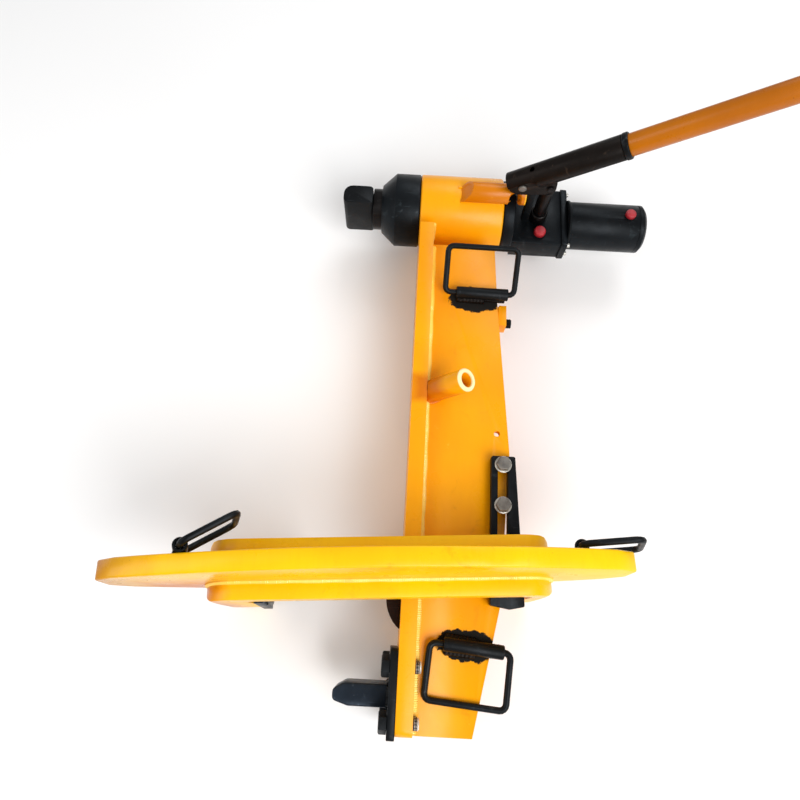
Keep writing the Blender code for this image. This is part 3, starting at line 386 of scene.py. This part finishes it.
def ring_loft(bm, rings, closed=False):
    """Skin over rings of equal length; an open run gets end caps."""
    made = [[bm.verts.new(p) for p in ring] for ring in rings]
    count = len(made[0])
    pairs = list(zip(made, made[1:]))
    if closed:
        pairs.append((made[-1], made[0]))
    for a, b in pairs:
        for i in range(count):
            j = (i + 1) % count
            bm.faces.new((a[i], a[j], b[j], b[i]))
    if not closed:
        bm.faces.new(made[0][::-1])
        bm.faces.new(made[-1])


def resample(points, step):
    """Points every step along a polyline."""
    out = [points[0].copy()]
    left = step
    for a, b in zip(points, points[1:]):
        length = (b - a).length
        at = left
        while at <= length:
            out.append(a.lerp(b, at / length))
            at += step
        left = at - length
    return out


STEPS_PER_PUDDLE = 3


def weld_bead(name, points, radius, body, finish, seed, pitch=0.0026, sides=8, closed=False):
    """Rippled weld bead along a polyline: overlapping puddles with a slightly wandering edge."""
    rng = random.Random(seed)
    path = resample([Vector(p) for p in points], pitch / STEPS_PER_PUDDLE)
    rings = []
    phase = rng.random()
    for i, p in enumerate(path):
        ahead = path[min(i + 1, len(path) - 1)]
        behind = path[max(i - 1, 0)]
        along = (ahead - behind).normalized()
        upright = abs(along.z) > 0.95
        side = (along.orthogonal() if upright else along.cross(Vector((0, 0, 1)))).normalized()
        up = side.cross(along)
        wave = (i / STEPS_PER_PUDDLE + phase) % 1.0
        ripple = 0.20 * math.sin(math.pi * wave) + 0.08 * math.sin(i * 0.11 + seed)
        swell = radius * (0.86 + ripple + rng.uniform(-0.03, 0.03))
        if i in (0, len(path) - 1):
            swell *= 0.6
        turns = [math.tau * k / sides for k in range(sides)]
        rings.append([p + swell * (math.cos(a) * side + math.sin(a) * up) for a in turns])
    bm = bmesh.new()
    ring_loft(bm, rings, closed)
    return piece(name, bm, body, finish)


def turned(name, profile, seat, axis, body, finish, count=32):
    """Solid of revolution; profile is (distance along axis, radius)."""
    turn = axis.to_track_quat("Z", "Y").to_matrix()
    angles = [math.tau * k / count for k in range(count)]
    rings = [[seat + turn @ Vector((r * math.cos(a), r * math.sin(a), s)) for a in angles]
             for s, r in profile]
    bm = bmesh.new()
    ring_loft(bm, rings)
    return piece(name, bm, body, finish)


def thread(name, seat, axis, radius, length, pitch, body, finish, count=20):
    """Threaded stub: a helical ridge on a core, chamfered at the free end."""
    depth, chamfer, slope = 0.00085, 0.0012, 0.8
    turn = axis.to_track_quat("Z", "Y").to_matrix()
    steps = max(8, int(length / pitch * 8))
    rings = []
    for i in range(steps + 1):
        s = length * i / steps
        ring = []
        for k in range(count):
            phase = (s / pitch - k / count) % 1.0
            ridge = 1 - abs(2 * phase - 1)
            r = radius - depth * (1 - ridge) - max(0.0, s - length + chamfer) * slope
            a = 2 * math.pi * k / count
            ring.append(seat + turn @ Vector((r * math.cos(a), r * math.sin(a), s)))
        rings.append(ring)
    bm = bmesh.new()
    ring_loft(bm, rings)
    return piece(name, bm, body, finish)


# --- welds on the beam ---------------------------------------------------------------------------

FLANGE_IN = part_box("flange_plate")[1].x
WEB_LOW, WEB_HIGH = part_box("top_web_plate")
seam = [(FLANGE_IN + 0.0004, y, WEB_TOP) for y in (WEB_LOW.y + 0.001, WEB_HIGH.y - 0.004)]
# This bead is in the pale cream of a painted highlight.
weld_bead("weld_flange_web_top", seam, 0.0050, "beam", SEAM_HIGHLIGHT_YELLOW, 3)
BASE_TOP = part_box("bottom_web_plate")[1].z
for name, z, radius, seed in (("web_under", WEB_LOW.z, 0.0028, 4), ("base", BASE_TOP, 0.0030, 5)):
    seam = [(FLANGE_IN, y, z) for y in (WEB_LOW.y + 0.002, WEB_HIGH.y - 0.03)]
    weld_bead(f"weld_flange_{name}", seam, radius, "beam", YELLOW, seed, pitch=0.004, sides=6)

flange_end = [beam_point(0.0212, 0.7105, z) for z in (0.148, 0.100)]
# This bead is in the pale cream of a painted highlight.
weld_bead("weld_flange_end", flange_end, 0.0030, "beam", SEAM_HIGHLIGHT_YELLOW, 6)
for i, (x, y, z) in enumerate(((0.056, 0.7798, 0.1443), (0.060, 0.7554, 0.1430))):
    weld_bead(f"weld_barrel_arm_{i + 1}", [beam_point(x, y, z), beam_point(0.1265, y, z)],
              0.0022, "beam", YELLOW, 7 + i)

ARM_C = beam_point(0, 0.767, 0.153)
MITRE_FOOT, MITRE_RUN, ARM_PLUG_R = beam_point(0.0508, 0, 0.130), 32 / 45, 0.0106
plug_rings = []
for inner_end in (None, beam_point(0.092, 0, 0).x):
    ring = []
    for k in range(24):
        y = ARM_C.y + ARM_PLUG_R * math.cos(math.tau * k / 24)
        z = ARM_C.z + ARM_PLUG_R * math.sin(math.tau * k / 24)
        ring.append(Vector((inner_end or MITRE_FOOT.x + (z - MITRE_FOOT.z) * MITRE_RUN, y, z)))
    plug_rings.append(ring)
bm = bmesh.new()
ring_loft(bm, plug_rings)
# The fill takes the barrel arm's finish, with its painted shadow.
piece("arm_end_fill", bm, "beam", ARM_SHADOWED_YELLOW)

TUBE_R = 0.0160
foot = TUBE_MOUTH - Vector((1 / math.tan(TUBE_TILT), 0, 1)) * (TUBE_MOUTH.z - WEB_TOP)
ellipse = [foot + Vector((TUBE_R / math.sin(TUBE_TILT) * math.cos(a), (TUBE_R + 0.0002) * math.sin(a), 0.0))
           for a in [math.radians(d) for d in range(-94, 95, 6)]]
weld_bead("weld_bar_socket", ellipse, 0.0024, "beam", YELLOW, 11)

for name, centre, turn, seed in (("near", NEAR_CARRY, NEAR_TURN, 21), ("far", FAR_CARRY, FAR_TURN, 31)):
    spin = Matrix.Rotation(turn, 3, "Z")
    middle = beam_point(*centre, WEB_TOP)
    for k, side in enumerate((-1, 1)):
        ends = [middle + spin @ Vector((x, side * 0.0062, 0.0008)) for x in (-0.031, 0.039)]
        weld_bead(f"weld_{name}_sleeve_{k + 1}", ends, 0.0030, "beam", BROWN_BLACK, seed + k)
        lump = [middle + spin @ Vector((x, side * 0.0080, 0.0012)) for x in (-0.033, 0.010)]
        weld_bead(f"weld_{name}_lump_{k + 1}", lump, 0.0052, "beam", BROWN_BLACK, seed + 5 + k,
                  pitch=0.005)

lug_low, lug_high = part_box("edge_lug")
seam = [(lug_low.x, y, lug_high.z) for y in (lug_low.y + 0.002, lug_high.y - 0.002)]
weld_bead("weld_edge_lug", seam, 0.0020, "beam", YELLOW, 41)

nose_low, nose_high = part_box("anvil_nose")
for k, y in enumerate((nose_low.y, nose_high.y)):
    seam = [(nose_high.x, y, z) for z in (nose_low.z + 0.002, nose_high.z - 0.002)]
    weld_bead(f"weld_nose_side_{k + 1}", seam, 0.0028, "beam", BLACK, 43 + k)
seam = [(nose_high.x, y, nose_high.z) for y in (nose_low.y + 0.002, nose_high.y - 0.002)]
weld_bead("weld_nose_top", seam, 0.0028, "beam", BLACK, 46)

# --- threads and screws --------------------------------------------------------------------------

for i in range(1, 5):
    low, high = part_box(f"anvil_bolt_{i}")
    centre = (low + high) / 2
    start = Vector((FLANGE_IN + 0.0004, centre.y, centre.z))
    thread(f"anvil_bolt_thread_{i}", start, Vector((1, 0, 0)), 0.0081, high.x - start.x + 0.0022, 0.0020,
           "beam", BRIGHT_ZINC)

flange_low, flange_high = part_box("tank_flange")
for i, (dy, dz) in enumerate(((0.0058, 0.012), (0.0058, 0.036), (0.1002, 0.012), (0.1002, 0.036))):
    seat = Vector((flange_high.x - 0.0002, flange_low.y + dy, flange_low.z + dz))
    head = [(0.0, 0.0030), (0.0, 0.0034), (0.0042, 0.0034), (0.0048, 0.0029), (0.0048, 0.0018),
            (0.0022, 0.0017)]
    turned(f"tank_screw_{i + 1}", head, seat, Vector((1, 0, 0)), "beam", ZINC, 18)

tank_low, tank_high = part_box("oil_tank")
tank_y, tank_z = (tank_low.y + tank_high.y) / 2, (tank_low.z + tank_high.z) / 2
tank_r = (tank_high.y - tank_low.y) / 2
tank_ring = [(tank_low.x + 0.0008, tank_y + tank_r * math.cos(a), tank_z + tank_r * math.sin(a))
             for a in [math.radians(d) for d in range(0, 360, 6)]]
weld_bead("weld_tank_base", tank_ring, 0.0020, "beam", BLACK, 51, closed=True)

# --- return spring: a coil drawn in place of the CAD spring ----------------------------------------

coil_low, coil_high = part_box("return_spring")
coil_c = (coil_low + coil_high) / 2
WIRE_R, COIL_TURNS, COIL_STEPS, RAM_STROKE = 0.0030, 5, 24, 0.050
coil_r = (coil_high.y - coil_low.y) / 2 - WIRE_R
coil_length = coil_high.x - coil_low.x
coil_rings = []
for i in range(COIL_TURNS * COIL_STEPS + 1):
    a = math.tau * i / COIL_STEPS
    outward = Vector((0, math.cos(a), math.sin(a)))
    station = coil_low.x + WIRE_R + (coil_length - 2 * WIRE_R) * i / (COIL_TURNS * COIL_STEPS)
    middle = Vector((station, coil_c.y, coil_c.z)) + coil_r * outward
    coil_rings.append([middle + WIRE_R * (math.cos(b) * outward + math.sin(b) * Vector((1, 0, 0)))
                       for b in [math.tau * k / 10 for k in range(10)]])
bm = bmesh.new()
ring_loft(bm, coil_rings)
coil = piece("return_coil", bm, "beam", ZINC)
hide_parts("return_spring")
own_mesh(coil)

# --- yoke welds ----------------------------------------------------------------------------------

YOKE_AT = beam_point(-0.0413, 0.1834, 0.2005)
YOKE_TURN = Matrix.Rotation(math.radians(4.0), 3, "Z") @ Matrix.Rotation(math.radians(-3.5), 3, "X")
LENS_T = 0.0235
CHEEK_TOP, LEG_X0, LEG_X1, CORNER = -0.003, -0.200, 0.227, 0.040


def yoke_point(x, y, z):
    return YOKE_AT + YOKE_TURN @ Vector((x, y, z))


def cheek_edge(y, low):
    """Outer outline of a cheek, from low on one leg over the top to low on the other."""
    path = [(LEG_X0, low)]
    for d in range(180, 89, -10):
        a = math.radians(d)
        path.append((LEG_X0 + CORNER + CORNER * math.cos(a), CHEEK_TOP - CORNER + CORNER * math.sin(a)))
    for d in range(90, -1, -10):
        a = math.radians(d)
        path.append((LEG_X1 - CORNER + CORNER * math.cos(a), CHEEK_TOP - CORNER + CORNER * math.sin(a)))
    path.append((LEG_X1, low))
    return [yoke_point(x, y, z) for x, z in path]


# The near bead is in the pale cream of a painted highlight; the far one in the yoke's yellow with painted
# light.
for name, y, finish, seed in (("near", -0.0006, SEAM_HIGHLIGHT_YELLOW, 61), ("far", LENS_T + 0.0006, YOKE_LIT_YELLOW, 62)):
    weld_bead(f"weld_yoke_{name}", cheek_edge(y, -0.060), 0.0032, "yoke", finish, seed)
for name, spot, splay, seed in (("left", (-0.2145, 0.042), 15.0, 71), ("right", (0.262, -0.008), -15.0, 81)):
    tip = Matrix.Rotation(math.radians(splay), 3, "Y")
    for k, side in enumerate((-1, 1)):
        ends = []
        for z in (-0.017, 0.017):
            local = tip @ Vector((side * 0.0058, 0, z))
            ends.append(yoke_point(spot[0] + local.x, LENS_T + 0.0012, spot[1] + local.z))
        weld_bead(f"weld_yoke_{name}_sleeve_{k + 1}", ends, 0.0024, "yoke", BROWN_BLACK,
                  seed + k)

# --- stage, lights and camera --------------------------------------------------------------------

FLOOR_HALF, FLOOR_Z = 6, -0.0005
corners = [(x * FLOOR_HALF, y * FLOOR_HALF, FLOOR_Z) for x, y in ((-1, -1), (1, -1), (1, 1), (-1, 1))]
floor_mesh = bpy.data.meshes.new("floor")
floor_mesh.from_pydata(corners, [], [(0, 1, 2, 3)])
floor = bpy.data.objects.new("floor", floor_mesh)
bpy.context.scene.collection.objects.link(floor)
pale = Tree("pale_floor")
pale.finish(pale.mix(pale.noise(3, 2, 0.5), (0.90, 0.90, 0.90, 1), (0.93, 0.93, 0.93, 1)), 0.9)
floor_mesh.materials.append(pale.material)

world = bpy.data.worlds.new("studio")
world.use_nodes = True
world.node_tree.nodes["Background"].inputs["Color"].default_value = (1, 1, 1, 1)
world.node_tree.nodes["Background"].inputs["Strength"].default_value = 0.42
bpy.context.scene.world = world


def softbox(name, where, size, power, colour=(1, 1, 1)):
    light = bpy.data.lights.new(name, "AREA")
    light.shape = "RECTANGLE"
    light.size, light.size_y = size
    light.energy = power
    light.color = colour
    lamp = bpy.data.objects.new(name, light)
    bpy.context.scene.collection.objects.link(lamp)
    lamp.location = where
    lamp.rotation_euler = (Vector((0, 0, 0.1)) - Vector(where)).to_track_quat("-Z", "Y").to_euler()


softbox("key", (1.05, -1.30, 1.95), (1.8, 1.4), 58)
softbox("back", (0.5, 1.9, 1.7), (1.4, 1.0), 16)
softbox("side", (-1.9, -0.3, 1.5), (1.2, 1.6), 15)

camera_data = bpy.data.cameras.new("camera")
camera_data.sensor_width = 36.0
camera_data.lens = 30.6
camera_data.clip_start = 0.01
camera = bpy.data.objects.new("camera", camera_data)
bpy.context.scene.collection.objects.link(camera)
forward = Vector((-0.00207, 0.31695, -0.94844)).normalized()
right = Vector((0.99847, 0.05322, 0.01560)).normalized()
up = right.cross(forward).normalized()
right = forward.cross(up).normalized()
pose = Matrix((right, up, -forward)).transposed().to_4x4()
pose.translation = Vector((-0.0139, 0.1302, 1.037)) + ORIGIN
camera.matrix_world = pose
bpy.context.scene.camera = camera
bpy.context.scene.view_settings.view_transform = "Standard"
